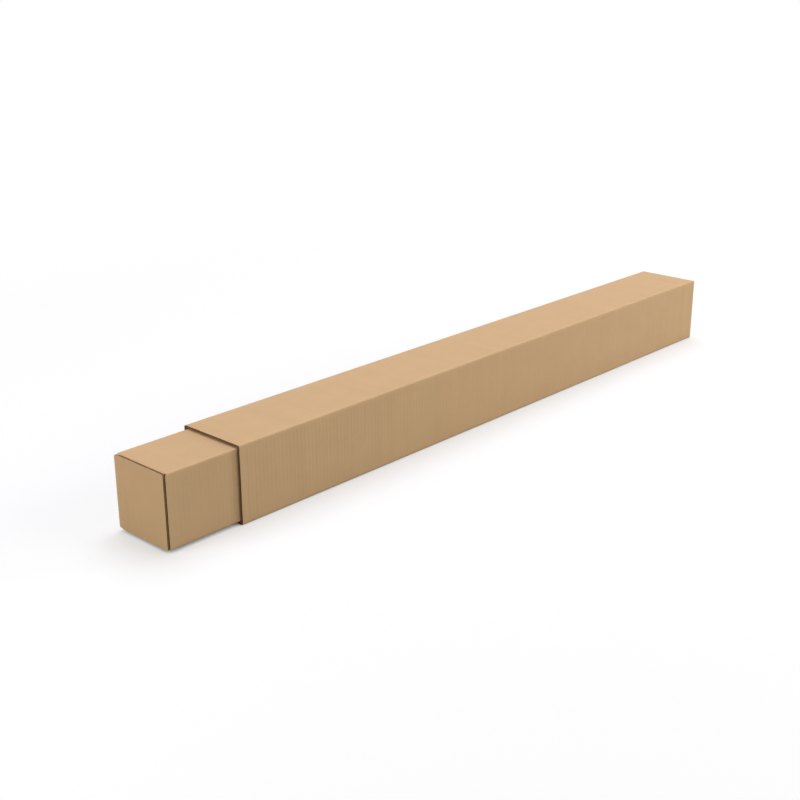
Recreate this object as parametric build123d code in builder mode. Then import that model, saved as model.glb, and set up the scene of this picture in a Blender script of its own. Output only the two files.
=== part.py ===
from build123d import *
import os

# Square telescoping mailing tube: two folded blanks of corrugated board, one sliding inside the other.
# X runs along the tube, from the inner tube's closed end to the outer tube's. Z is up from the ground.

# Driving dimensions, in millimetres
board = 3.0                # thickness of the corrugated board
crease_radius = 0.5        # inside radius of every fold
clear_width = 87.7         # inside width and height of the inner tube
slide_clearance = 0.75     # room between the tubes on each side
seat_gap = 0.4             # the inner tube's underside above the outer tube's floor panel
outer_length = 1010.0      # outer tube, over its closed end
inner_length = 1010.0      # inner tube, over its closed end
reach = 105.9              # how far the inner tube stands out of the outer tube's mouth
flap_margin = 1.0          # free side edge of each end flap, in from the tube's face
inner_flap_trim = -0.3     # top and bottom edges of the inner tube's end flap, in from the tube's faces
inner_root_trim = 2.2      # the same at that flap's bend, where the blank has a relief cut
outer_flap_trim = 3.2      # the same on the outer tube, whose end flap hides behind its folded edges
flap_root_slant = 7.0      # length of the slanting cut from an end flap's bend to its full height
flap_corner_radius = 2.0   # free corners of the end flaps
wall_corner_cut = 3.0      # slanting cut at the top and bottom corners of each free wall's end
dust_flap_depth = 40.0     # how far each dust flap reaches across the end
dust_flap_taper = 5.0      # how much each side of a dust flap closes in towards its free edge
lap_width = 30.0           # glue lap that joins each blank into a tube
lap_taper = 10.0           # length of the slanting cut at the lap's open end

# Sizes that follow
fold_radius = board + crease_radius
inner_width = clear_width + 2 * board
outer_width = inner_width + 2 * slide_clearance + 2 * board
inner_floor = board + seat_gap
near_x = -(outer_length + reach) / 2
mouth_x = near_x + reach
far_x = mouth_x + outer_length
inner_mouth_x = near_x + inner_length

# Start angle of a fold's quarter turn, by the way that leads into the tube and the way out to the panel
OUTSIDE_CORNER = {(1, 1): 90, (-1, 1): 0, (-1, -1): 270, (1, -1): 180}


def block(y_span, z_span):
    """A rectangle of the section, from its spans across Y and Z."""
    with Locations(((y_span[0] + y_span[1]) / 2, (z_span[0] + z_span[1]) / 2)):
        Rectangle(abs(y_span[1] - y_span[0]), abs(z_span[1] - z_span[0]))


def ring(width, floor):
    """Four panels folded round: the section of a square tube with rounded folds."""
    with Locations((0, floor + width / 2)):
        RectangleRounded(width, width, fold_radius)
        RectangleRounded(width - 2 * board, width - 2 * board, crease_radius, mode=Mode.SUBTRACT)


def bend(centre, start_angle):
    """A quarter turn of the board about the centre of a fold."""
    with BuildLine() as outline:
        outside = CenterArc(centre, fold_radius, start_angle, 90)
        inside = CenterArc(centre, crease_radius, start_angle, 90)
        Line(outside @ 0, inside @ 0)
        Line(outside @ 1, inside @ 1)
    make_face(outline.edges())


def slant_cut(face_y, depth, corner, along, down):
    """Cut a corner off on the slant, through the board from face_y to that depth along Y. along and down are
    how far the cut reaches from the corner, along X and Z."""
    x, z = corner
    with BuildSketch(Plane.XZ.offset(-face_y)) as slant:
        with BuildLine():
            Polyline((x, z), (x + along, z), (x, z + down), close=True)
        make_face()
    extrude(slant.sketch, amount=-depth, mode=Mode.SUBTRACT)


def closed_end(width, floor, end_x, inward, hinge, trim, root_trim):
    """The folded end of a tube. The end flap's outer face is at end_x and inward (1 or -1) points into the
    tube along X. The end flap hangs on the wall on the hinge side (1 or -1 along Y), over two dust flaps.
    It stays trim inside the top and bottom faces, and root_trim at its bend."""
    back_x = end_x + inward * board
    crease_x = back_x + inward * fold_radius
    dust_width = width - 2 * fold_radius
    wall_y = hinge * width / 2
    low, high = floor + trim, floor + width - trim
    root_z = (floor + root_trim, floor + width - root_trim)

    # The free wall and its two folds run on past the creases, up to the back of the end flap
    with BuildSketch(Plane.YZ.offset(back_x)) as free_wall:
        ring(width, floor)
        with Locations((hinge * fold_radius / 2, floor + width / 2)):
            Rectangle(width - fold_radius, width, mode=Mode.SUBTRACT)
    extrude(free_wall.sketch, amount=inward * fold_radius)
    for panel_z, into in ((floor + width, -1), (floor, 1)):
        corner = (back_x, panel_z)
        slant_cut(-wall_y, hinge * fold_radius, corner, inward * wall_corner_cut, into * wall_corner_cut)

    # The end flap, its bend and the last of the wall that it hangs on
    bend_start_x = end_x + inward * fold_radius
    bend_y = wall_y - hinge * fold_radius
    slant_y = bend_y - hinge * flap_root_slant
    free_y = hinge * flap_margin - wall_y
    with BuildSketch(Plane.YZ.offset(bend_start_x)) as hinge_wall:
        block((wall_y, wall_y - hinge * board), root_z)
    extrude(hinge_wall.sketch, amount=inward * board)
    with BuildSketch(Plane.XY.offset(root_z[0])) as flap_fold:
        bend((bend_start_x, bend_y), OUTSIDE_CORNER[inward, hinge])
    extrude(flap_fold.sketch, amount=root_z[1] - root_z[0])
    with BuildSketch(Plane.YZ.offset(end_x)) as end_flap:
        with BuildLine():
            Polyline((bend_y, root_z[0]), (slant_y, low), (free_y, low), (free_y, high), (slant_y, high),
                     (bend_y, root_z[1]), close=True)
        make_face()
        fillet(end_flap.vertices().group_by(Axis.Y)[0 if hinge > 0 else -1], flap_corner_radius)
    extrude(end_flap.sketch, amount=inward * board)

    # The dust flaps, folded in from the top and bottom panels behind the end flap
    for panel_z, into in ((floor + width, -1), (floor, 1)):
        dust_root_z = panel_z + into * fold_radius
        tip_z = panel_z + into * dust_flap_depth
        tip_y = dust_width / 2 - dust_flap_taper
        with BuildSketch(Plane.XZ) as dust_fold:
            bend((crease_x, dust_root_z), OUTSIDE_CORNER[inward, -into])
        extrude(dust_fold.sketch, amount=dust_width / 2, both=True)
        with BuildSketch(Plane.YZ.offset(back_x)) as dust_flap:
            with BuildLine():
                Polyline((-dust_width / 2, dust_root_z), (-tip_y, tip_z), (tip_y, tip_z),
                         (dust_width / 2, dust_root_z), close=True)
            make_face()
        extrude(dust_flap.sketch, amount=inward * board)


# Outer tube: open at the mouth, closed at the far end. Its lap is glued on outside, for a smooth bore.
with BuildPart() as outer_tube:
    outer_crease_x = far_x - board - fold_radius
    outer_wall = outer_width / 2
    lap_bend_y = outer_wall + board - fold_radius
    with BuildSketch(Plane.YZ.offset(mouth_x)):
        ring(outer_width, 0)
        with Locations((outer_wall - fold_radius / 2, fold_radius / 2)):
            Rectangle(fold_radius, fold_radius, mode=Mode.SUBTRACT)
        block((outer_wall - board, outer_wall), (board, fold_radius))
        block((outer_wall - fold_radius, lap_bend_y), (0, board))
        bend((lap_bend_y, fold_radius), -90)
        block((outer_wall, outer_wall + board), (fold_radius, lap_width))
    extrude(amount=outer_crease_x - mouth_x)
    slant_cut(outer_wall, board, (mouth_x, lap_width), lap_taper, fold_radius - lap_width)
    closed_end(outer_width, 0, far_x, -1, -1, outer_flap_trim, outer_flap_trim)

# Inner tube: closed at the near end, open inside the outer tube. Its lap is glued on inside, out of the way.
with BuildPart() as inner_tube:
    inner_crease_x = near_x + board + fold_radius
    inner_wall = inner_width / 2
    inner_lap_top = inner_floor + board + lap_width
    inner_bend_y = inner_wall - board - fold_radius
    inner_bend_z = inner_floor + fold_radius
    with BuildSketch(Plane.YZ.offset(inner_crease_x)):
        ring(inner_width, inner_floor)
        with Locations((inner_wall - (board + fold_radius) / 2, inner_floor + fold_radius / 2)):
            Rectangle(board + fold_radius, fold_radius, mode=Mode.SUBTRACT)
        block((inner_wall - board, inner_wall), (inner_floor, inner_bend_z))
        bend((inner_bend_y, inner_bend_z), -90)
        block((inner_wall - 2 * board, inner_wall - board), (inner_bend_z, inner_lap_top))
    extrude(amount=inner_mouth_x - inner_crease_x)
    lap_corner = (inner_mouth_x, inner_lap_top)
    slant_cut(inner_wall - 2 * board, board, lap_corner, -lap_taper, inner_bend_z - inner_lap_top)
    closed_end(inner_width, inner_floor, near_x, 1, 1, inner_flap_trim, inner_root_trim)

os.makedirs("parts", exist_ok=True)
for name, tube in (("outer_tube", outer_tube), ("inner_tube", inner_tube)):
    tube.part.label = name
    export_step(tube.part, f"parts/{name}.step")
    print(name, "solids", len(tube.part.solids()), "volume cm3", round(tube.part.volume / 1000, 1))
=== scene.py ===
# %% [markdown]
# # A telescoping square mailing tube
#
# The real object is two long square tubes of brown corrugated board, one inside the other. Each tube is one
# flat blank that was creased, folded round, glued along a lap and closed at one end with flaps. The packed
# part gives the exact size and place of both tubes, so it is loaded first and the rest is measured from it.

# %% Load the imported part
import math

import bmesh
import bpy
import numpy as np
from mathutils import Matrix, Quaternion, Vector


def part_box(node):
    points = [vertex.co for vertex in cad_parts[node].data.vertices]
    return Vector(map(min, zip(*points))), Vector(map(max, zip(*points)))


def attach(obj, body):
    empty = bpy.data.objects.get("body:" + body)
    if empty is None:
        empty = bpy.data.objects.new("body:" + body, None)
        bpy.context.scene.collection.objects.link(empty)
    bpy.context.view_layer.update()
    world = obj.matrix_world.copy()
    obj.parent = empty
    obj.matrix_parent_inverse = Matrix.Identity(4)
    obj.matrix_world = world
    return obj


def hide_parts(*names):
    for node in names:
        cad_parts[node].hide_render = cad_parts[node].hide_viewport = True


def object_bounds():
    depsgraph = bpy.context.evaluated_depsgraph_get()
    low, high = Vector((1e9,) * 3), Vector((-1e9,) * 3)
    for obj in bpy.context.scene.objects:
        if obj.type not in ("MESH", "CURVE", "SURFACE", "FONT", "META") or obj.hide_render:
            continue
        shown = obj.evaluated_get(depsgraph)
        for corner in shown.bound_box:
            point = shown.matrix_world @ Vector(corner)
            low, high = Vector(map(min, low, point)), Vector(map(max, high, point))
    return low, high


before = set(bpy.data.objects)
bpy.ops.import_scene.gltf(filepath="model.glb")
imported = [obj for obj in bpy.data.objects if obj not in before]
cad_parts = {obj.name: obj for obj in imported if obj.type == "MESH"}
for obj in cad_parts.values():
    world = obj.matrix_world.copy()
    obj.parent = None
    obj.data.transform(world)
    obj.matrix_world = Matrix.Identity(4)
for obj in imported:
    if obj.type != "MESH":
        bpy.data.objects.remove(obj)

cad_low, cad_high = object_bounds()
outer_low, outer_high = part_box("outer_tube")
inner_low, inner_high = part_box("inner_tube")
print("nodes", sorted(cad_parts), "box", [round(x, 4) for x in (*cad_low, *cad_high)])

# %% [markdown]
# ## The board
#
# Corrugated board is a wavy sheet of paper, the medium, glued between two flat sheets, the liners. Its
# flutes run round the tube, so they stand upright on the side walls. All sizes are in metres. The widths and
# the board's thickness could be typed in again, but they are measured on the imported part, so that the two
# can't drift apart: the outer glue lap stands one board proud. The inner tube is measured across, because
# its end flap stands a little past its top and bottom.

# %% Sizes of the board
OUTER_WIDTH = outer_high.z - outer_low.z
INNER_WIDTH = inner_high.y - inner_low.y
BOARD = outer_high.y - OUTER_WIDTH / 2
CREASE_RADIUS = 0.0005  # inside radius of every fold
FOLD_RADIUS = BOARD + CREASE_RADIUS
LINER = 0.00035         # thickness of each flat paper
MEDIUM = 0.00025        # thickness of the wavy paper
FLUTE_PITCH = 0.0061
QUARTER_FLUTE = FLUTE_PITCH / 4
GROOVE_CELLS = 6        # a raw edge is open between its liners for so many quarter flutes
GROOVE = GROOVE_CELLS * QUARTER_FLUTE
FOLD_FADE = 0.004       # a crease presses the flutes flat this far beside it
print("board", round(BOARD, 5), "outer", round(OUTER_WIDTH, 4), "inner", round(INNER_WIDTH, 4))

# %% [markdown]
# ## Walking round a fold line
#
# A folded sheet is the same all along its length, so its end view says nearly everything. The class below
# walks along the sheet's outer face like a turtle: straight along a panel, then a quarter turn to the left
# at each crease. Every stop keeps its place, the way the face looks and how far the walk has come on the flat
# blank. A spline would do too, but a walk reads like the folding itself.
#
# Most folds are round. A crisp one has its outer liner pulled tight, so that it turns about a smaller radius
# than the rest of the board. Its stops also keep a tuck, the step from the round fold out to the tight one.

# %% A walk of panels and quarter turns
CORNER_RADIUS = 0.0016  # the outer liner's radius in a crisp fold
PANEL_STEP = 0.02       # stations on a flat panel are about this far apart
QUARTER_TURN = math.pi / 2


class FoldLine:
    """The outer face of a folded sheet, seen end on. The sheet lies to the left of the walk."""

    ARC_STEPS = 5

    def __init__(self, start, heading):
        self.place = np.array(start, float)
        self.heading = np.array(heading, float)
        self.travelled = 0.0
        self.points, self.normals, self.lengths, self.folds, self.tucks = [], [], [], [], []
        self.mark()

    def mark(self, tight=None):
        """Note a station. tight is where the outer liner runs, if that isn't at the station's own place."""
        self.tucks.append(np.zeros(2) if tight is None else tight - self.place)
        self.points.append(self.place.copy())
        self.normals.append((self.heading[1], -self.heading[0]))
        self.lengths.append(self.travelled)

    def panel(self, stops):
        """Go straight on, with a station at each distance in stops. Returns the first and last station."""
        first = len(self.points) - 1
        start, travelled = self.place.copy(), self.travelled
        for stop in stops:
            self.place = start + stop * self.heading
            self.travelled = travelled + stop
            self.mark()
        return first, len(self.points) - 1

    def fold(self, crisp=False):
        """A quarter turn to the left about the crease. Returns its first and last station."""
        first = len(self.points) - 1
        ahead, left = self.heading.copy(), np.array((-self.heading[1], self.heading[0]))

        def on_arc(middle, radius, angle):
            return middle + radius * (math.sin(angle) * ahead - math.cos(angle) * left)

        centre, travelled = self.place + FOLD_RADIUS * left, self.travelled
        tight_centre = self.place + (FOLD_RADIUS - CORNER_RADIUS) * ahead + CORNER_RADIUS * left
        flat_length = (FOLD_RADIUS - BOARD / 2) * QUARTER_TURN
        for step in range(1, self.ARC_STEPS + 1):
            angle = QUARTER_TURN * step / self.ARC_STEPS
            self.heading = math.cos(angle) * ahead + math.sin(angle) * left
            self.place = on_arc(centre, FOLD_RADIUS, angle)
            self.travelled = travelled + flat_length * step / self.ARC_STEPS
            tight_angle = QUARTER_TURN * (step - 1) / (self.ARC_STEPS - 2)
            tight = on_arc(tight_centre, CORNER_RADIUS, tight_angle)
            self.mark(tight if crisp and step < self.ARC_STEPS else None)
        self.folds.append((travelled, self.travelled))
        return first, len(self.points) - 1

    def fold_gap(self):
        """The distance on the blank from each station to the nearest crease."""
        away = np.array(self.lengths)[:, None]
        low, high = np.array(self.folds).T
        return np.maximum(np.maximum(low - away, away - high), 0).min(1)


def stops_along(length, first=FOLD_FADE, last=FOLD_FADE, step=PANEL_STEP):
    """Stations along a panel: one at first from its start, one at last from its end, and some between."""
    count = max(2, round((length - first - last) / step) + 1)
    return [*np.linspace(first, length - last, count), length]


print("a fold turns over", round(FOLD_RADIUS * 1000, 2), "mm in", FoldLine.ARC_STEPS, "steps")

# %% [markdown]
# ## From a fold line to a sheet of board
#
# The walk is swept along the tube in rows, which makes a grid. Four copies of the grid, one below the
# other, are the two faces of each liner. Where the board is whole, its middle is filled. Along a raw edge
# it stays open for a few millimetres, so that two thin paper lips have a dark hollow between them, as on
# cut board. A solid slab with a painted edge would lose that shadow.

# %% A sheet with open raw edges
LAYER_DEPTHS = (0, LINER, BOARD - LINER, BOARD)
OUTER_FACE, OUTER_BACK, INNER_BACK, INNER_FACE = range(len(LAYER_DEPTHS))


class Sheet:
    """One swept sheet of board. line is walked in the plane of the axes, and rows lie along their cross.
    Each station's first and last rows are drawn in by low_trim and high_trim, fading over trim_reach."""

    # LIP faces are painted dark brown, as painted shade of a raw edge
    FACE, INSIDE, LIP = range(3)           # the finishes: a liner's face, inside the hollow, a cut lip

    def __init__(self, line, axes, rows, low_trim, high_trim, trim_reach, front_lip=LIP):
        axes, rows = np.array(axes, float), np.array(rows, float)
        self.sweep = np.cross(*axes)
        self.line = line
        self.points, self.normals, self.tucks = (
            np.array(flat) @ axes for flat in (line.points, line.normals, line.tucks))
        low_pull = np.clip(1 - (rows - rows[0]) / trim_reach, 0, 1)
        high_pull = np.clip(1 - (rows[-1] - rows) / trim_reach, 0, 1)
        self.rows = rows + np.outer(low_trim, low_pull) - np.outer(high_trim, high_pull)
        self.hollow = np.zeros((len(self.points) - 1, len(rows) - 1), bool)
        self.front_lip = front_lip         # the finish of the outer liner's lip

    def at(self, depth):
        """The grid of places that lie depth under the outer face."""
        tight = 1 - np.clip((depth - LINER) / (BOARD - 2 * LINER), 0, 1)
        face = self.points - depth * self.normals + tight * self.tucks
        return face[:, None, :] + self.rows[:, :, None] * self.sweep

    def edge(self, column=None, row=None):
        """The middle line of the board along one raw edge, as a list of points."""
        middle = self.at(BOARD / 2)
        return middle[:, row] if column is None else middle[column]


print("a sheet has", len(LAYER_DEPTHS), "layers: two faces for each liner")

# %% [markdown]
# ## Faces of a sheet
#
# The two outsides of a sheet are whole, the two insides show only where the board is hollow, a narrow strip
# closes each liner all round, and a wall stands wherever filled board meets a hollow. A loop over the cells
# would do, but a sheet has thousands of them, so all faces of a kind are picked at once from an array of
# the vertices' numbers. Every face winds so that it looks outwards.


# %% Skin the layers
def sheet_mesh(sheet):
    """The vertices and quads of a sheet, and the finish of each quad."""
    columns, rows = sheet.rows.shape
    vertices = np.concatenate([sheet.at(depth).reshape(-1, 3) for depth in LAYER_DEPTHS])
    number = np.arange(len(vertices)).reshape(len(LAYER_DEPTHS), columns, rows)
    quads, finishes = [], []

    def add(corners, forward, finish):
        quads.append(np.stack([c.ravel() for c in (corners if forward else corners[::-1])], 1))
        finishes.append(np.broadcast_to(finish, len(quads[-1])).astype(np.int32))

    def face(layer, where, outward, finish):
        i, j = np.nonzero(where)
        n = number[layer]
        add([n[i, j], n[i + 1, j], n[i + 1, j + 1], n[i, j + 1]], outward, finish)

    def wall(top, bottom, i, j, next_i, next_j, forward, finish):
        t, b = number[top], number[bottom]
        add([t[i, j], t[next_i, next_j], b[next_i, next_j], b[i, j]], forward, finish)

    everywhere = np.ones_like(sheet.hollow)
    face(OUTER_FACE, everywhere, True, sheet.FACE)
    face(INNER_FACE, everywhere, False, sheet.FACE)
    face(OUTER_BACK, sheet.hollow, False, sheet.INSIDE)
    face(INNER_BACK, sheet.hollow, True, sheet.INSIDE)

    i, j = np.arange(columns - 1), np.arange(rows - 1)
    for top, bottom, lip in ((OUTER_FACE, OUTER_BACK, sheet.front_lip), (INNER_BACK, INNER_FACE, sheet.LIP)):
        for end, forward in ((0, True), (-1, False)):
            finish = np.where(sheet.hollow[end], lip, sheet.FACE)
            wall(top, bottom, end, j, end, j + 1, forward, finish)
        for end, forward in ((0, False), (-1, True)):
            finish = np.where(sheet.hollow[:, end], lip, sheet.FACE)
            wall(top, bottom, i, end, i + 1, end, forward, finish)

    filled = np.pad(~sheet.hollow, 1)
    for before, after, forward in ((False, True, True), (True, False, False)):
        i, j = np.nonzero((filled[:-1, 1:-1] == before) & (filled[1:, 1:-1] == after))
        shut = np.where((i == 0) | (i == columns - 1), sheet.FACE, sheet.INSIDE)
        wall(OUTER_BACK, INNER_BACK, i, j, i, j + 1, forward, shut)
        i, j = np.nonzero((filled[1:-1, :-1] == before) & (filled[1:-1, 1:] == after))
        shut = np.where((j == 0) | (j == rows - 1), sheet.FACE, sheet.INSIDE)
        wall(OUTER_BACK, INNER_BACK, i, j, i + 1, j, not forward, shut)
    return vertices, np.concatenate(quads), np.concatenate(finishes)


print("a sheet's quads have", Sheet.LIP + 1, "finishes")

# %% [markdown]
# ## Node trees written as sums
#
# Geometry nodes and shader nodes share their maths nodes. They could be added and linked by hand, in a dozen
# lines for one small sum. Here one class wraps a socket, so that a Python sum such as `1 - mask * 0.3` adds
# the Math nodes, and one method makes every other node. A tree then reads like its formula.


# %% A socket for sums and a maker of nodes
class Socket:
    """An output socket that can be used in a sum."""

    def __init__(self, maker, socket):
        self.maker, self.socket = maker, socket

    def math(self, operation, *values):
        return self.maker.node("ShaderNodeMath", {"operation": operation}, dict(enumerate(values)))

    def __add__(self, other):
        return self.math("ADD", self, other)

    def __sub__(self, other):
        return self.math("SUBTRACT", self, other)

    def __rsub__(self, other):
        return self.math("SUBTRACT", other, self)

    def __mul__(self, other):
        return self.math("MULTIPLY", self, other)

    def __truediv__(self, other):
        return self.math("DIVIDE", self, other)

    def __rtruediv__(self, other):
        return self.math("DIVIDE", other, self)

    __radd__, __rmul__ = __add__, __mul__

    def cosine(self):
        return self.math("COSINE", self)

    def absolute(self):
        return self.math("ABSOLUTE", self)

    def at_least(self, other):
        return self.math("MAXIMUM", self, other)

    def clamped(self):
        return self.maker.node("ShaderNodeClamp", {}, {"Value": self})


class NodeMaker:
    """Adds nodes to one tree."""

    def __init__(self, tree):
        self.tree = tree

    def node(self, kind, settings, sockets, out=0):
        """A node of that type. settings are its properties, sockets its inputs by name or number, where a
        list joins several links. out is the output that is returned, or a tuple of them."""
        made = self.tree.nodes.new(kind)
        for key, value in settings.items():
            setattr(made, key, value)
        for key, value in sockets.items():
            for part in value if isinstance(value, list) else [value]:
                if isinstance(part, Socket):
                    self.tree.links.new(part.socket, made.inputs[key])
                else:
                    made.inputs[key].default_value = part
        if isinstance(out, tuple):
            return tuple(Socket(self, made.outputs[one]) for one in out)
        return Socket(self, made.outputs[out]) if made.outputs else made

    def vector(self, operation, *values, out=0):
        return self.node("ShaderNodeVectorMath", {"operation": operation}, dict(enumerate(values)), out)

    def attribute(self, name):
        """A vector attribute of the mesh, in a geometry tree."""
        return self.node("GeometryNodeInputNamedAttribute", {"data_type": "FLOAT_VECTOR"}, {"Name": name})


print("sums make Math nodes, and NodeMaker makes the rest")

# %% [markdown]
# ## From a geometry tree to a plain mesh
#
# What follows a rule, such as the flutes, is made by geometry nodes. A tree could stay on its object as a
# live modifier, but the model is handed on as plain meshes. So every tree ends in real faces with a material,
# and the result is copied into a mesh of its own. Inputs are set by their identifiers, which never repeat.


# %% Trees with named inputs
def geometry_tree(name, inputs):
    """A new geometry tree with inputs of those kinds. Returns its maker and the inputs as sockets."""
    tree = bpy.data.node_groups.new(name, "GeometryNodeTree")
    tree.interface.new_socket("Geometry", in_out="INPUT", socket_type="NodeSocketGeometry")
    for label, kind in inputs.items():
        tree.interface.new_socket(label, in_out="INPUT", socket_type="NodeSocket" + kind)
    tree.interface.new_socket("Geometry", in_out="OUTPUT", socket_type="NodeSocketGeometry")
    maker = NodeMaker(tree)
    entry = tree.nodes.new("NodeGroupInput")
    return maker, {label: Socket(maker, entry.outputs[label]) for label in ("Geometry", *inputs)}


def finish_tree(maker, geometry, material, selection=True):
    """End a geometry tree: real faces, and the material on those that are selected."""
    real = maker.node("GeometryNodeRealizeInstances", {}, {"Geometry": geometry})
    painted = maker.node("GeometryNodeSetMaterial", {}, {
        "Geometry": real, "Selection": selection, "Material": material})
    maker.node("NodeGroupOutput", {}, {0: painted})


def new_object(name, data):
    piece = bpy.data.objects.new(name, data)
    bpy.context.scene.collection.objects.link(piece)
    return piece


def grown(base, tree, values):
    """The plain mesh that a geometry tree makes of a base mesh. values are the tree's inputs by name."""
    source = new_object(base.name, base)
    modifier = source.modifiers.new(tree.name, "NODES")
    modifier.node_group = tree
    for item in tree.interface.items_tree:
        if item.in_out == "INPUT" and item.name in values:
            modifier[item.identifier] = values[item.name]
    bpy.context.view_layer.update()
    mesh = bpy.data.meshes.new_from_object(source.evaluated_get(bpy.context.evaluated_depsgraph_get()))
    source.modifiers.remove(modifier)
    bpy.data.objects.remove(source)
    return mesh


print("geometry trees can be grown into meshes")

# %% [markdown]
# ## Kraft paper
#
# The liners are unbleached kraft paper: warm tan, quite matt, with long fibres that lie mostly along the
# tube. It is never one flat colour. It has cloudy patches, fine streaks, faint bands across and a few dark
# specks, and its creases are a little paler, where the fibres have broken. A faint stripe over each flute,
# paler on the crests and darker between them, is painted shade, added to the shading of the pressed
# washboard. A scanned image would show its seams, so all of it is noise. It is read from an attribute called
# blank, each point's place on the flat sheet, so that the pattern follows the paper round every corner.

# %% The liner paper
KRAFT = (0.60, 0.390, 0.201)              # linear colour of the liner
KRAFT_SPREAD = 0.16                       # how far its palest and darkest spots are from that
KRAFT_SHINE = 0.5
KRAFT_ROUGHNESS, ROUGHER_FIBRES = 0.84, 0.12
CLOUDS = (24.0, 34.0, 1.0)                # how many there are to a metre, along the tube and round it
FIBRES = (130.0, 1100.0, 1.0)
BANDS = (95.0, 2.5, 1.0)
SPECKS = (210.0, 420.0, 1.0)
SPECK_SHARPNESS = 7.0
# the share over each flute is painted shade; the other shares are the paper's own tone and wear
TONE = {"clouds": 0.28, "fibres": 0.42, "bands": 0.22, "painted_flute_shade": 0.015, "specks": -0.3, "crease": 0.10}
CLOUD_HEIGHT = 0.4                        # the clouds stand as high as this share of the fibres
FIBRE_BUMP = {"Strength": 0.35, "Distance": 0.0002}
MIX_DARK, MIX_PALE, MIX_COLOUR = 6, 7, 2  # the numbers of a Mix node's colour sockets


def new_material(name):
    material = bpy.data.materials.new(name)
    material.use_nodes = True
    material.node_tree.nodes.clear()
    return material, NodeMaker(material.node_tree)


def noise(maker, place, stretch, detail):
    """A cloud pattern from 0 to 1. stretch says how many clouds there are to a metre, each way."""
    at = maker.vector("MULTIPLY", place, stretch)
    return maker.node("ShaderNodeTexNoise", {}, {"Vector": at, "Scale": 1.0, "Detail": detail})


def shades_of(maker, factor, colour, spread):
    """A colour that is darker by spread where factor is 0, and paler by spread where it is 1."""
    dark, pale = ((*(part * share for part in colour), 1.0) for share in (1 - spread, 1 + spread))
    return maker.node("ShaderNodeMix", {"data_type": "RGBA"}, {
        "Factor": factor, MIX_DARK: dark, MIX_PALE: pale}, MIX_COLOUR)


def finish_paper(maker, colour, roughness, height, shine):
    """A paper surface from its colour, its roughness and the height of its fibres."""
    bump = maker.node("ShaderNodeBump", {}, {**FIBRE_BUMP, "Height": height})
    surface = maker.node("ShaderNodeBsdfPrincipled", {}, {
        "Base Color": colour, "Roughness": roughness, "Normal": bump, "Specular IOR Level": shine})
    maker.node("ShaderNodeOutputMaterial", {}, {"Surface": surface})


def liner_paper():
    material, m = new_material("kraft_liner")
    blank = m.node("ShaderNodeAttribute", {"attribute_name": "blank"}, {}, "Vector")
    across = m.node("ShaderNodeSeparateXYZ", {}, {"Vector": blank})
    clouds, fibres, bands = (noise(m, blank, stretch, detail) - 0.5
                             for stretch, detail in ((CLOUDS, 3.0), (FIBRES, 3.0), (BANDS, 1.0)))
    speck_gap = m.node("ShaderNodeTexVoronoi", {}, {
        "Vector": m.vector("MULTIPLY", blank, SPECKS), "Scale": 1.0}, "Distance")
    marks = {
        "clouds": clouds, "fibres": fibres, "bands": bands,
        # painted shade over each flute: paler on the crests, darker between them
        "painted_flute_shade": (across * (2 * math.pi / FLUTE_PITCH)).cosine(),
        "specks": (1 - speck_gap * SPECK_SHARPNESS).clamped(),
        "crease": m.node("ShaderNodeAttribute", {"attribute_name": "crease"}, {}, "Fac")}
    tone = sum((marks[mark] * weight for mark, weight in TONE.items()), 0.5)
    colour = shades_of(m, tone.clamped(), KRAFT, KRAFT_SPREAD)
    roughness = KRAFT_ROUGHNESS + fibres * ROUGHER_FIBRES
    finish_paper(m, colour, roughness, fibres + clouds * CLOUD_HEIGHT, KRAFT_SHINE)
    return material


kraft_liner = liner_paper()
print("made", kraft_liner.name)

# %% [markdown]
# ## Fluting paper and the painted shade on cut lips
#
# The wavy medium and the insides of the liners show only at the raw edges. They are recycled fibre, a little
# darker, greyer and rougher than the face of the liner. The cut lips of the liners get a much darker brown:
# painted shade, for the shadow that fills a raw edge. These lips are a third of a millimetre wide, but with
# the hollow between them they draw the dark line along a raw edge. The liner's pattern could go on over them,
# but Object coordinates do, because nothing on such small strips has to meet across a fold.

# %% The medium and the lips' painted shade
FLUTING, FLUTING_SPREAD = (0.40, 0.265, 0.145), 0.25
# the lips' dark brown is painted shade for the shadow in a raw edge
PAINTED_LIP_SHADE, PAINTED_LIP_SHADE_SPREAD = (0.20, 0.122, 0.062), 0.4
RAW_ROUGHNESS, ROUGHER_GRAIN = 0.9, 0.08


def raw_paper(name, colour, spread, grains, detail, shine):
    """A rough paper. grains says how many there are to a metre."""
    material, m = new_material(name)
    place = m.node("ShaderNodeTexCoord", {}, {}, "Object")
    grain = noise(m, place, (grains, grains, grains), detail)
    roughness = RAW_ROUGHNESS + grain * ROUGHER_GRAIN
    finish_paper(m, shades_of(m, grain, colour, spread), roughness, grain, shine)
    return material


fluting = raw_paper("fluting_paper", FLUTING, FLUTING_SPREAD, grains=900.0, detail=3.0, shine=0.15)
# the lips' material paints the raw edge's shade into its colour
cut_edge = raw_paper("cut_edge", PAINTED_LIP_SHADE, PAINTED_LIP_SHADE_SPREAD, grains=700.0, detail=4.0, shine=0.1)
print("made", fluting.name, "and", cut_edge.name)

# %% [markdown]
# ## The washboard
#
# Paper sinks about a tenth of a millimetre between the crests of the flutes below it. On a long wall that
# shows as faint upright stripes, and the board is never quite flat between them either. A bump in the
# material could shade the stripes, but the mesh would lack them, so this tree presses both into the sheet.
# Each point carries its place on the blank and a vector called press, which points into the board and is
# nought on creases.

# %% Press the flutes into the faces
WASHBOARD = {"Pitch": FLUTE_PITCH, "Dip": 0.00013, "Unevenness": 0.00012, "Clouds per metre": 16.0}


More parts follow.
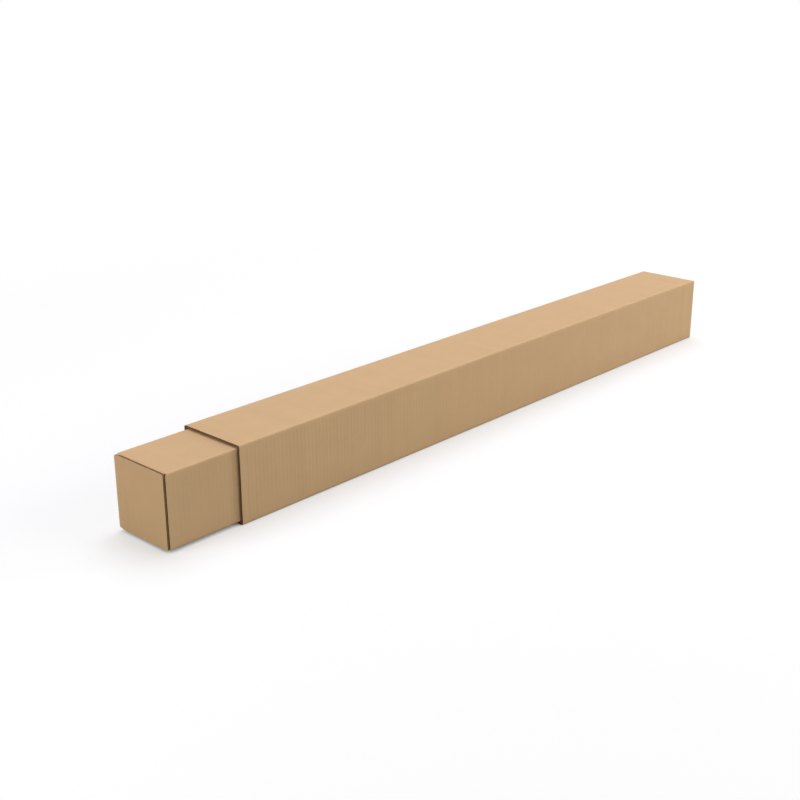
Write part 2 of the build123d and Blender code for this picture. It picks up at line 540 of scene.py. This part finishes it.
def washboard_tree():
    m, given = geometry_tree("washboard", {label: "Float" for label in WASHBOARD})
    blank, press = m.attribute("blank"), m.attribute("press")
    across = m.node("ShaderNodeSeparateXYZ", {}, {"Vector": blank})
    between_crests = 0.5 - (across * (2 * math.pi) / given["Pitch"]).cosine() * 0.5
    clouds = m.node("ShaderNodeTexNoise", {}, {
        "Vector": blank, "Scale": given["Clouds per metre"], "Detail": 1.0})
    depth = between_crests * given["Dip"] + clouds * given["Unevenness"]
    pressed = m.node("GeometryNodeSetPosition", {}, {
        "Geometry": given["Geometry"], "Offset": m.vector("MULTIPLY", press, depth)})
    finish = m.node("GeometryNodeInputMaterialIndex", {}, {})
    finish_tree(m, pressed, kraft_liner, selection=1 - finish)      # above nought on the liners' faces only
    return m.tree


washboard = washboard_tree()
print("washboard dips", WASHBOARD["Dip"] * 1000, "mm")

# %% [markdown]
# ## One mesh from several sheets
#
# A tube is a sleeve, an end flap and two dust flaps. Each is a closed sheet, and they meet at the creases.
# They could be four objects, but one blank is one piece. This step puts them in one mesh and writes the
# attributes that the washboard and the paper read. The top shows its flutes much less than the walls do, so
# it is pressed less. The die crushes a sleeve where it cuts it, so the washboard fades towards those edges.

# %% Join sheets and press them
TOP_CALM = 0.65                  # how much less the flutes show on a panel that lies uppermost
SMOOTH_BELOW = math.radians(32)  # faces that meet at a smaller angle are shaded as one
MARK_KINDS = {"blank": ("FLOAT_VECTOR", "vector"), "crease": ("FLOAT", "value"),
              "press": ("FLOAT_VECTOR", "vector")}


def smooth_rise(value):
    value = np.clip(value, 0, 1)
    return value * value * (3 - 2 * value)


def marks_of(sheet, across, along, pattern, sunk, crushed):
    """The attributes of a sheet's vertices: place on the blank, crease, and press, as strong as sunk."""
    shape = sheet.rows.shape
    off_crease = smooth_rise(sheet.line.fold_gap() / FOLD_FADE)[:, None] * np.ones(shape)
    flat = off_crease
    if crushed:
        walked = np.array(sheet.line.lengths)[:, None]
        from_cut = np.minimum(sheet.rows - sheet.rows[:, :1], sheet.rows[:, -1:] - sheet.rows)
        from_cut = np.minimum(from_cut, np.minimum(walked, walked[-1] - walked))
        flat = off_crease * smooth_rise(from_cut / GROOVE)
    calm = 1 - TOP_CALM * np.clip(sheet.normals[:, 2], 0, 1)
    inward = -(sheet.normals * calm[:, None])[:, None, :] * flat[:, :, None] * sunk
    still = np.zeros_like(inward)
    press = np.concatenate([layer.reshape(-1, 3) for layer in (inward, still, still, -inward)])
    place = np.stack([across * np.ones(shape), along * np.ones(shape), np.full(shape, pattern)], 2)
    layers = len(LAYER_DEPTHS)
    return np.tile(place.reshape(-1, 3), (layers, 1)), np.tile((1 - off_crease).ravel(), layers), press


def board_piece(name, sheets):
    """One object from a list of (sheet, across, along, pattern, sunk, crushed), pressed by the washboard."""
    places, quads, finishes, marks, count = [], [], [], [], 0
    for sheet, *how in sheets:
        vertices, faces, finish = sheet_mesh(sheet)
        used, faces = np.unique(faces, return_inverse=True)
        places.append(vertices[used])
        quads.append(faces.reshape(-1, 4) + count)
        finishes.append(finish)
        marks.append([mark[used] for mark in marks_of(sheet, *how)])
        count += len(used)
    flat = bpy.data.meshes.new(name + "_flat")
    flat.from_pydata(np.concatenate(places), [], np.concatenate(quads))
    for (key, (kind, field)), values in zip(MARK_KINDS.items(), zip(*marks)):
        flat.attributes.new(key, kind, "POINT").data.foreach_set(field, np.concatenate(values).ravel())
    for paper in (kraft_liner, fluting, cut_edge):
        flat.materials.append(paper)
    flat.polygons.foreach_set("material_index", np.concatenate(finishes))
    mesh = grown(flat, washboard, WASHBOARD)
    mesh.attributes.remove(mesh.attributes["press"])
    mesh.shade_smooth()
    mesh.set_sharp_from_angle(angle=SMOOTH_BELOW)
    print(name, len(mesh.vertices), "vertices", len(mesh.polygons), "faces")
    return new_object(name, mesh)


print("sheets can be joined")

# %% [markdown]
# ## Flutes at the raw edges
#
# Where the board was cut, the medium shows. Cut across the flutes, as along the top of an end flap, it is a
# row of waves. Cut along them, as at the mouth, it is one long slope that leaves a dark channel. They could
# be modelled apart, but one tree makes both: it lays a strip along the edge line, reaching into the board,
# and lifts each point by the cosine of its distance across the flutes. The strip then gets the thickness of
# the paper. The way out of the board is stored on the flat grid, because it is lost once the points move.

# %% A tree for a fluted strip
WELD = 0.00001  # points nearer than this are merged


def fluted_edge_tree():
    m, given = geometry_tree("fluted_edge", {
        "Into board": "Vector", "Across flutes": "Vector", "Pitch": "Float", "Wave height": "Float",
        "Depth": "Float", "Paper": "Float", "Stations": "Int", "Rows": "Int"})
    line = m.node("GeometryNodeMeshToCurve", {}, {"Mesh": given["Geometry"]})
    grid = m.node("GeometryNodeMeshGrid", {}, {
        "Size X": 1.0, "Size Y": 1.0, "Vertices X": given["Stations"], "Vertices Y": given["Rows"]})
    here = m.node("GeometryNodeInputPosition", {}, {})
    x, y = m.node("ShaderNodeSeparateXYZ", {}, {0: here}, (0, 1))
    reach = (y + 0.5) * given["Depth"]
    on_line, tangent = m.node("GeometryNodeSampleCurve", {"mode": "FACTOR"}, {
        "Curves": line, "Factor": x + 0.5}, ("Position", "Tangent"))
    flat = m.vector("ADD", on_line, m.vector("MULTIPLY", given["Into board"], reach))
    way = m.vector("DOT_PRODUCT", flat, given["Across flutes"], out="Value")
    lift = (way * (2 * math.pi) / given["Pitch"]).cosine() * given["Wave height"] * 0.5
    out_of_board = m.vector("NORMALIZE", m.vector("CROSS_PRODUCT", given["Into board"], tangent))
    marked = m.node("GeometryNodeStoreNamedAttribute", {"data_type": "FLOAT_VECTOR", "domain": "POINT"}, {
        "Geometry": grid, "Name": "outward", "Value": out_of_board})
    lifted = m.vector("MULTIPLY", out_of_board, lift - given["Paper"] * 0.5)
    sheet = m.node("GeometryNodeSetPosition", {}, {
        "Geometry": marked, "Position": m.vector("ADD", flat, lifted)})
    turned = m.node("GeometryNodeFlipFaces", {}, {"Mesh": sheet})
    thick = m.node("GeometryNodeExtrudeMesh", {"mode": "FACES"}, {
        "Mesh": turned, "Offset": m.vector("MULTIPLY", m.attribute("outward"), given["Paper"]),
        "Offset Scale": 1.0, "Individual": False})
    joined = m.node("GeometryNodeJoinGeometry", {}, {0: [sheet, thick]})
    welded = m.node("GeometryNodeMergeByDistance", {}, {"Geometry": joined, "Distance": WELD})
    clean = m.node("GeometryNodeRemoveAttribute", {}, {"Geometry": welded, "Name": "outward"})
    finish_tree(m, clean, fluting)
    return m.tree


fluted_edge = fluted_edge_tree()
print("made the tree", fluted_edge.name)

# %% [markdown]
# ## Strips of medium
#
# On the real tube the medium runs through the whole board. It could be modelled all the way, but only its
# first centimetre is ever seen, so it is made as strips along the raw edges, about as deep as the hollow
# there.

# %% Fluted strips along edge lines
WAVE_SLACK = 0.0001   # keeps the medium clear of the liners
WAVE_HEIGHT = BOARD - 2 * LINER - MEDIUM - WAVE_SLACK
STRIP_DEPTH = 0.95 * GROOVE
STRIP_START = 0.0002  # the medium stops this far inside the cut
FLUTES_SMOOTH_BELOW = math.radians(40)


def fluted_strip(points, into, across, station_step, rows):
    """The medium along one raw edge, as a mesh."""
    points = np.array(points) + STRIP_START * np.array(into)
    length = np.linalg.norm(np.diff(points, axis=0), axis=1).sum()
    path = bpy.data.meshes.new("edge_line")
    path.from_pydata(points, [(k, k + 1) for k in range(len(points) - 1)], [])
    return grown(path, fluted_edge, {
        "Into board": tuple(into), "Across flutes": tuple(across), "Pitch": FLUTE_PITCH,
        "Wave height": WAVE_HEIGHT, "Depth": STRIP_DEPTH, "Paper": MEDIUM,
        "Stations": max(2, round(length / station_step) + 1), "Rows": rows})


def fluted_piece(name, strips):
    """All the fluted strips of one tube in one object."""
    collected = bmesh.new()
    for strip in strips:
        collected.from_mesh(strip)
    mesh = bpy.data.meshes.new(name)
    collected.to_mesh(mesh)
    collected.free()
    mesh.materials.append(fluting)
    mesh.shade_smooth()
    mesh.set_sharp_from_angle(angle=FLUTES_SMOOTH_BELOW)
    print(name, len(mesh.polygons), "faces in", len(strips), "strips")
    return new_object(name, mesh)


print("flutes are", round(WAVE_HEIGHT * 1000, 2), "mm high and", FLUTE_PITCH * 1000, "mm apart")

# %% [markdown]
# ## The two tubes
#
# Both tubes are made the same way. The inner tube's closed end looks along -X, and the outer tube is turned
# half round, so its own looks along +X. Each could have its own code, but both are described in directions
# of their own: along, from the closed end to the mouth; side, towards the wall that the end flap hangs on;
# and up.

# %% Directions and levels of each tube
UP = np.array((0.0, 0.0, 1.0))


class Tube:
    """One tube in its own directions. The end flap stays flap_trim inside the top and floor, and root_trim at
    its bend. pattern is the paper's place in the cloud pattern, and sunk how strongly its flutes show."""

    def __init__(self, name, turn, width, floor, end, mouth, flap_trim, root_trim, pattern, sunk):
        self.name, self.width, self.floor, self.mouth = name, width, floor, mouth
        self.along = np.array((turn, 0.0, 0.0))
        self.side = np.array((0.0, turn, 0.0))
        self.wall = width / 2
        self.top = floor + width
        self.crease = end + BOARD + FOLD_RADIUS
        self.flap_trim, self.root_trim = flap_trim, root_trim
        self.pattern, self.sunk = pattern, sunk


INNER_FLAP_PROUD = (inner_high.z - inner_low.z - INNER_WIDTH) / 2
inner = Tube("inner", turn=1, width=INNER_WIDTH, floor=inner_low.z + INNER_FLAP_PROUD,
             end=inner_low.x, mouth=inner_high.x, flap_trim=-INNER_FLAP_PROUD, root_trim=0.0022,
             pattern=0.0, sunk=1.0)
outer = Tube("outer", turn=-1, width=OUTER_WIDTH, floor=outer_low.z,
             end=-outer_high.x, mouth=-outer_low.x, flap_trim=0.0032, root_trim=0.0012,
             pattern=3.7, sunk=1.7)
for tube in (inner, outer):
    print(tube.name, "from crease", round(tube.crease, 4), "to mouth", round(tube.mouth, 4))

# %% [markdown]
# ## The end view of each blank
#
# The inner blank starts at the foot of the hinge wall, goes up and over and round the floor, and ends in a
# glue lap that folds up inside that wall, so that nothing stands proud where it slides. The outer blank
# starts with its lap outside and ends at the foot of the free wall, so that its bore is smooth. Each has one
# crisp fold, between its top and the wall without a lap. A square with bevelled corners would be quicker, but
# it would have no lap and no raw ends. A tiny step in the walk, two stations almost in one place, lets the
# sheet's end jump from one length to another.

# %% Walk round both sections
LAP_WIDTH = 0.030
STEP = 0.00002


def inner_section(tube):
    """The inner blank's fold line, the stations of its free wall and those of its lap."""
    across = tube.width - 2 * FOLD_RADIUS
    line = FoldLine((tube.wall, tube.floor), (0, 1))
    line.panel(stops_along(tube.width - FOLD_RADIUS, first=GROOVE))
    line.fold()
    line.panel([*stops_along(across)[:-1], across - STEP, across])
    first, _ = line.fold(crisp=True)
    line.panel(stops_along(across))
    _, last = line.fold()
    line.panel([STEP, *stops_along(across - BOARD)])
    line.fold()
    lap = line.panel(stops_along(LAP_WIDTH + BOARD - FOLD_RADIUS, last=GROOVE))
    return line, (first, last), lap


def outer_section(tube):
    """The same for the outer blank, which is walked from the lap."""
    across = tube.width - 2 * FOLD_RADIUS
    line = FoldLine((-tube.wall - BOARD, tube.floor + LAP_WIDTH), (0, -1))
    lap = line.panel(stops_along(LAP_WIDTH - FOLD_RADIUS, first=GROOVE))
    line.fold()
    line.panel(stops_along(across + BOARD))
    line.fold()
    line.panel(stops_along(across))
    line.fold(crisp=True)
    line.panel([*stops_along(across)[:-1], across - STEP, across])
    first, _ = line.fold()
    _, last = line.panel(stops_along(tube.width - FOLD_RADIUS - BOARD, last=GROOVE))
    return line, (first, last), lap


sections = {"inner": inner_section(inner), "outer": outer_section(outer)}
for name, (line, free, lap) in sections.items():
    print(name, "blank is", round(line.lengths[-1], 4), "m round, in", len(line.points), "stations")

# %% [markdown]
# ## The sleeves
#
# A sleeve is the long part of a tube: four panels and the glue lap. The wall that carries no flap, with its
# two folds, runs on past the crease to the back of the end flap, and its corners are cut on the slant. The
# lap is cut on the slant at the mouth. Such cuts could be made with a Boolean, but it would spoil the clean
# grid, so the rows near an end are shifted instead. A row lies on every quarter of a flute, which is just
# enough to carry the washboard.

# %% Sweep the sections along the tubes
LAP_TAPER = 0.010        # the slant of the lap's mouth end
WALL_CORNER_CUT = 0.002  # the slant of the corners of the free wall's end
TRIM_REACH = 0.03        # rows near an end shift over this length to follow its cut
SHORTEST_CELL = 0.5      # in quarter flutes, next to the crease


def sleeve_sheet(tube, line, free, lap):
    """The four panels and the lap of one tube."""
    count = int((tube.mouth - tube.crease) / QUARTER_FLUTE - SHORTEST_CELL)
    rows = [tube.crease, *(tube.mouth - QUARTER_FLUTE * k for k in range(count, -1, -1))]
    levels = np.array(line.points)[:, 1]
    run_on, slant = np.zeros_like(levels), np.zeros_like(levels)
    first, last = free
    from_corner = np.minimum(levels - tube.floor, tube.top - levels)[first:last + 1]
    run_on[first:last + 1] = np.maximum(WALL_CORNER_CUT - from_corner, 0) - FOLD_RADIUS
    height = np.abs(levels - tube.floor - FOLD_RADIUS)[lap[0]:lap[1] + 1]
    slant[lap[0]:lap[1] + 1] = LAP_TAPER * height / height.max()
    sheet = Sheet(line, (tube.side, UP), rows, run_on, slant, TRIM_REACH)
    sheet.hollow[:, -GROOVE_CELLS:] = True
    sheet.hollow[first:last, :GROOVE_CELLS] = True
    sheet.hollow[[0, -1], :] = True
    return sheet


sleeves = {tube.name: sleeve_sheet(tube, *sections[tube.name]) for tube in (inner, outer)}
for name, sheet in sleeves.items():
    print(name, "sleeve grid", sheet.rows.shape)

# %% [markdown]
# ## The flaps
#
# Two dust flaps fold in from the top and the floor, and the end flap folds over them from the hinge wall and
# is glued down. Its three free edges are raw: waves along the top and bottom, a dark channel down the side.
# Its front lip is as pale as its face, its free corners are rounded, a little more is cut off below than
# above, and at the bend the cut slants to another height. The dust flaps narrow towards their tips. A box
# with a bevel could stand for each flap, but the fold line gives the bend and the raw edges in one go.

# %% Fold the end
FLAP_MARGIN = 0.001                         # the end flap stops this far short of the free wall's face
FLAP_CORNER = 0.002
FLAP_CORNER_STOPS = (0, 0.15, 0.4, 0.7, 1)  # stations round a free corner, in shares of its radius
FLAP_ROOT_SLANT = 0.007                     # length of the slant from the bend to the flap's full height
FLAP_FOOT_CUT = 0.0011                      # how much higher its lower edge is cut
FLAP_ROWS, DUST_ROWS = 6, 7
DUST_DEPTH = 0.040
DUST_TAPER = 0.005


def end_flap_sheet(tube):
    """The end flap with its bend, from the hinge wall's crease. Returns it and its first flat station."""
    line = FoldLine((tube.crease, tube.wall), (-1, 0))
    line.panel([BOARD])
    line.fold()
    length = tube.width - FOLD_RADIUS - FLAP_MARGIN
    corner = [FLAP_CORNER * share for share in FLAP_CORNER_STOPS]
    flutes = np.arange(2, int(length / QUARTER_FLUTE)) * QUARTER_FLUTE
    from_edge = np.array([*corner, *flutes])
    first, last = line.panel(length - from_edge[::-1])
    round_off = np.zeros(len(line.points))
    near = FLAP_CORNER - np.minimum(from_edge[::-1], FLAP_CORNER)
    round_off[first + 1:last + 1] = FLAP_CORNER - np.sqrt(FLAP_CORNER ** 2 - near ** 2)
    past_bend = np.array(line.lengths) - line.lengths[first]
    at_root = np.clip(1 - past_bend / FLAP_ROOT_SLANT, 0, 1)
    relief = tube.root_trim - tube.flap_trim
    low_cut, high_cut = (round_off + depth * at_root for depth in (relief - FLAP_FOOT_CUT, relief))
    low, high = tube.floor + tube.flap_trim + FLAP_FOOT_CUT, tube.top - tube.flap_trim
    middle = np.linspace(low + GROOVE, high - GROOVE, FLAP_ROWS)
    rows = [low, low + GROOVE / 2, *middle, high - GROOVE / 2, high]
    sheet = Sheet(line, (tube.along, tube.side), rows, low_cut, high_cut, GROOVE, front_lip=Sheet.FACE)
    side_cells = np.count_nonzero(from_edge <= GROOVE + STEP) - 1
    sheet.hollow[last - side_cells:last, :] = True
    sheet.hollow[first:last, [0, 1, -2, -1]] = True
    return sheet, first


def dust_flap_sheet(tube, level, into):
    """A dust flap from the panel at that level. into is 1 where it folds up and -1 where it folds down."""
    line = FoldLine((tube.crease, -into * level), (-1, 0))
    line.fold()
    first, last = line.panel(stops_along(DUST_DEPTH - FOLD_RADIUS, step=QUARTER_FLUTE))
    taper = np.zeros(len(line.points))
    taper[first:last + 1] = DUST_TAPER * np.linspace(0, 1, last - first + 1)
    reach = tube.wall - FOLD_RADIUS
    rows = np.linspace(-reach, reach, DUST_ROWS)
    return Sheet(line, (tube.along, -into * UP), rows, taper, taper, reach)


end_flaps = {tube.name: end_flap_sheet(tube) for tube in (inner, outer)}
dust_flaps = {tube.name: [dust_flap_sheet(tube, tube.top, -1), dust_flap_sheet(tube, tube.floor, 1)]
              for tube in (inner, outer)}
print("flaps on each tube:", 1 + len(dust_flaps["inner"]))

# %% [markdown]
# ## Board and flutes of each tube
#
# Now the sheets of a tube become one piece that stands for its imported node, and the fluted strips a second
# one that rides with it. They could be one piece, but two are easier to check. The blank's two directions are
# handed on here: on the sleeve the flutes are crossed by going along the tube, and on the flaps by going
# along the walk. The strips on one flap run the same way round, so that their waves meet.

# %% Build both tubes
FLAP_SINK = 0.35                 # the washboard is weaker on the pressed flaps
EIGHTH_FLUTE = FLUTE_PITCH / 8
SLEEVE_STATION, FLAP_STATION = 0.001, 0.002
ALONG_ROWS, ACROSS_ROWS = 12, 4  # rows of a strip that is cut along the flutes, or across them


def tube_board(tube):
    sleeve, (flap, _) = sleeves[tube.name], end_flaps[tube.name]
    walked = np.array(sleeve.line.lengths)[:, None]
    sheets = [(sleeve, sleeve.rows, walked, tube.pattern, tube.sunk, True)]
    for sheet in (flap, *dust_flaps[tube.name]):
        walked = np.array(sheet.line.lengths)[:, None]
        sheets.append((sheet, tube.crease - walked, sheet.rows, tube.pattern, FLAP_SINK, False))
    return board_piece(tube.name + "_board", sheets)


def tube_flutes(tube):
    sleeve, (flap, flat_from) = sleeves[tube.name], end_flaps[tube.name]
    line, (first, last), _ = sections[tube.name]
    from_start = np.sign(line.points[1][1] - line.points[0][1]) * UP
    from_end = np.sign(line.points[-2][1] - line.points[-1][1]) * UP
    ends, turned_ends = [0, -1], [-1, 0]
    along_flutes = [
        (sleeve.edge(row=-1), -tube.along, tube.along, SLEEVE_STATION),
        (sleeve.edge(row=0)[first:last + 1], tube.along, tube.along, SLEEVE_STATION),
        (flap.edge(column=-1)[turned_ends], tube.side, tube.side, FLAP_STATION)]
    across_flutes = [
        (sleeve.edge(column=0)[ends], from_start, tube.along, EIGHTH_FLUTE),
        (sleeve.edge(column=-1)[ends], from_end, tube.along, EIGHTH_FLUTE),
        (flap.edge(row=0)[flat_from:][::-1], UP, tube.side, EIGHTH_FLUTE),
        (flap.edge(row=-1)[flat_from:], -UP, tube.side, EIGHTH_FLUTE)]
    strips = [fluted_strip(*edge, rows) for edges, rows in (
        (along_flutes, ALONG_ROWS), (across_flutes, ACROSS_ROWS)) for edge in edges]
    return fluted_piece(tube.name + "_flutes", strips)


for tube in (inner, outer):
    board, flutes = tube_board(tube), tube_flutes(tube)
    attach(board, tube.name)
    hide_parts(tube.name + "_tube")
    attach(flutes, tube.name)

# %% [markdown]
# ## The floor
#
# The tube lies on a white floor that melts into a white background. A floor lit up to white would take so
# much light that the board burns out. So the floor near the tube is grey, keeps the soft shadow and takes a
# little tan from the board. A glow that only the camera sees lifts it to white, except in the narrow gap
# under the inner tube, and further out it is plain white.

# %% White floor
WHITE = (1.0, 1.0, 1.0, 1.0)
FLOOR_SIZE = 30.0
FLOOR_DROP = 0.00005              # keeps the floor from lying in the same plane as the board
FLOOR_COLOUR = (0.50, 0.50, 0.50, 1.0)
FLOOR_ROUGHNESS = 0.95
FLOOR_GLOW = 0.50                 # what only the camera sees
GAP_REACH = 0.012                 # the glow fades in gaps that are covered within this distance
GAP_SAMPLES = 8
HALF_COVERED = 2.0                # floor that is less than half covered has its full glow
PALE_FROM, WHITE_FROM = 0.5, 1.4  # distances from the tube between which the floor turns white


def ray_mask(maker):
    """1 for what the camera sees, directly or in something glossy or clear."""
    rays = [maker.node("ShaderNodeLightPath", {}, {}, out)
            for out in ("Is Camera Ray", "Is Glossy Ray", "Is Transmission Ray")]
    return (rays[0] + rays[1] + rays[2]).clamped()


def floor_finish():
    material, m = new_material("white_floor")
    lit = m.node("ShaderNodeBsdfPrincipled", {}, {
        "Base Color": FLOOR_COLOUR, "Roughness": FLOOR_ROUGHNESS, "Specular IOR Level": 0.0})
    seen = ray_mask(m)
    open_sky = m.node("ShaderNodeAmbientOcclusion", {"samples": GAP_SAMPLES}, {"Distance": GAP_REACH}, "AO")
    uncovered = (open_sky * HALF_COVERED).clamped()
    glow = m.node("ShaderNodeEmission", {}, {"Color": WHITE, "Strength": seen * uncovered * FLOOR_GLOW})
    near = m.node("ShaderNodeAddShader", {}, {0: lit, 1: glow})
    white = m.node("ShaderNodeEmission", {}, {"Color": WHITE, "Strength": 1.0})
    place = m.node("ShaderNodeTexCoord", {}, {}, "Object")
    x, y = m.node("ShaderNodeSeparateXYZ", {}, {0: place}, (0, 1))
    past_end = (x.absolute() - cad_high.x).at_least(0)
    away = m.vector("LENGTH", m.node("ShaderNodeCombineXYZ", {}, {0: past_end, 1: y}), out="Value")
    far = m.node("ShaderNodeMapRange", {"interpolation_type": "SMOOTHSTEP"}, {
        "Value": away, "From Min": PALE_FROM, "From Max": WHITE_FROM})
    surface = m.node("ShaderNodeMixShader", {}, {0: far * seen, 1: near, 2: white})
    m.node("ShaderNodeOutputMaterial", {}, {"Surface": surface})
    return material


half = FLOOR_SIZE / 2
floor_mesh = bpy.data.meshes.new("floor")
floor_mesh.from_pydata([(x * half, y * half, -FLOOR_DROP) for x, y in ((-1, -1), (1, -1), (1, 1), (-1, 1))],
                       [], [(0, 1, 2, 3)])
floor_mesh.materials.append(floor_finish())
floor = new_object("floor", floor_mesh)
print("floor", FLOOR_SIZE, "m")

# %% [markdown]
# ## Light
#
# The real tube lies in soft studio light: its top is the lightest face, its long wall gets lighter towards
# the far end, and its washboard shows faintly. One broad lamp above would leave the wall flat. So a high lamp
# lights the top, three weaker ones from the right, the left and the front light the wall and the end, and the
# white world fills the rest. The one on the right stands far along the tube and rakes over the flutes.


# %% Lamps and world
def white_world(light):
    """A world that lights the tube with that colour, and looks white."""
    world = bpy.data.worlds.new("studio")
    bpy.context.scene.world = world
    world.use_nodes = True
    world.node_tree.nodes.clear()
    m = NodeMaker(world.node_tree)
    fill = m.node("ShaderNodeBackground", {}, {"Color": (*light, 1), "Strength": 1.0})
    seen = m.node("ShaderNodeBackground", {}, {"Color": WHITE, "Strength": 1.0})
    mixed = m.node("ShaderNodeMixShader", {}, {0: ray_mask(m), 1: fill, 2: seen})
    m.node("ShaderNodeOutputWorld", {}, {"Surface": mixed})


def soft_lamp(name, place, target, size, power, colour):
    lamp = bpy.data.lights.new(name, "AREA")
    lamp.shape, lamp.size, lamp.energy, lamp.color = "DISK", size, power, colour
    holder = new_object(name, lamp)
    holder.location = place
    holder.rotation_mode = "QUATERNION"
    holder.rotation_quaternion = (Vector(target) - Vector(place)).to_track_quat("-Z", "Y")
    holder.visible_camera = False
    print("lamp", name, power, "W")


white_world(light=(0.25, 0.25, 0.24))
soft_lamp("high", place=(1.0, 0.8, 3.6), target=(0, 0, 0), size=3.0, power=97.0, colour=(0.905, 0.90, 1.0))
soft_lamp("right", place=(3.0, -1.5, 0.9), target=(0.3, 0, 0.05), size=1.2, power=37.3,
          colour=(1.0, 0.995, 0.99))
soft_lamp("left", place=(-2.2, 0.4, 0.9), target=(-0.5, 0, 0.05), size=1.2, power=15.9,
          colour=(1.0, 0.995, 0.97))
soft_lamp("front", place=(0.9, -2.6, 1.2), target=(0, 0, 0.05), size=1.8, power=24.6,
          colour=(0.99, 1.0, 0.95))

# %% [markdown]
# ## Camera
#
# The tube is seen from above the closed end of the inner tube, which lies low on the left. A camera could
# be moved by hand until the view looks right. These numbers were solved instead from the straight edges of
# the real tube, so that every corner falls where it should. The angles are a turn from the Y axis, a tilt
# down and a very small roll.

# %% Camera
CAMERA_PLACE = (-1.31065, -1.0991, 0.6479)
CAMERA_TURN, CAMERA_TILT, CAMERA_ROLL = (math.radians(angle) for angle in (47.15, 20.09, -0.17))
CAMERA_LENS = 56.79

level = math.cos(CAMERA_TILT)
ahead = Vector((math.sin(CAMERA_TURN) * level, math.cos(CAMERA_TURN) * level, -math.sin(CAMERA_TILT)))
camera = new_object("camera", bpy.data.cameras.new("camera"))
camera.data.lens = CAMERA_LENS
camera.location = CAMERA_PLACE
camera.rotation_mode = "QUATERNION"
camera.rotation_quaternion = ahead.to_track_quat("-Z", "Y") @ Quaternion((0, 0, 1), CAMERA_ROLL)
bpy.context.scene.camera = camera
bpy.context.scene.view_settings.view_transform = "Standard"
print("camera at", CAMERA_PLACE, "lens", CAMERA_LENS)
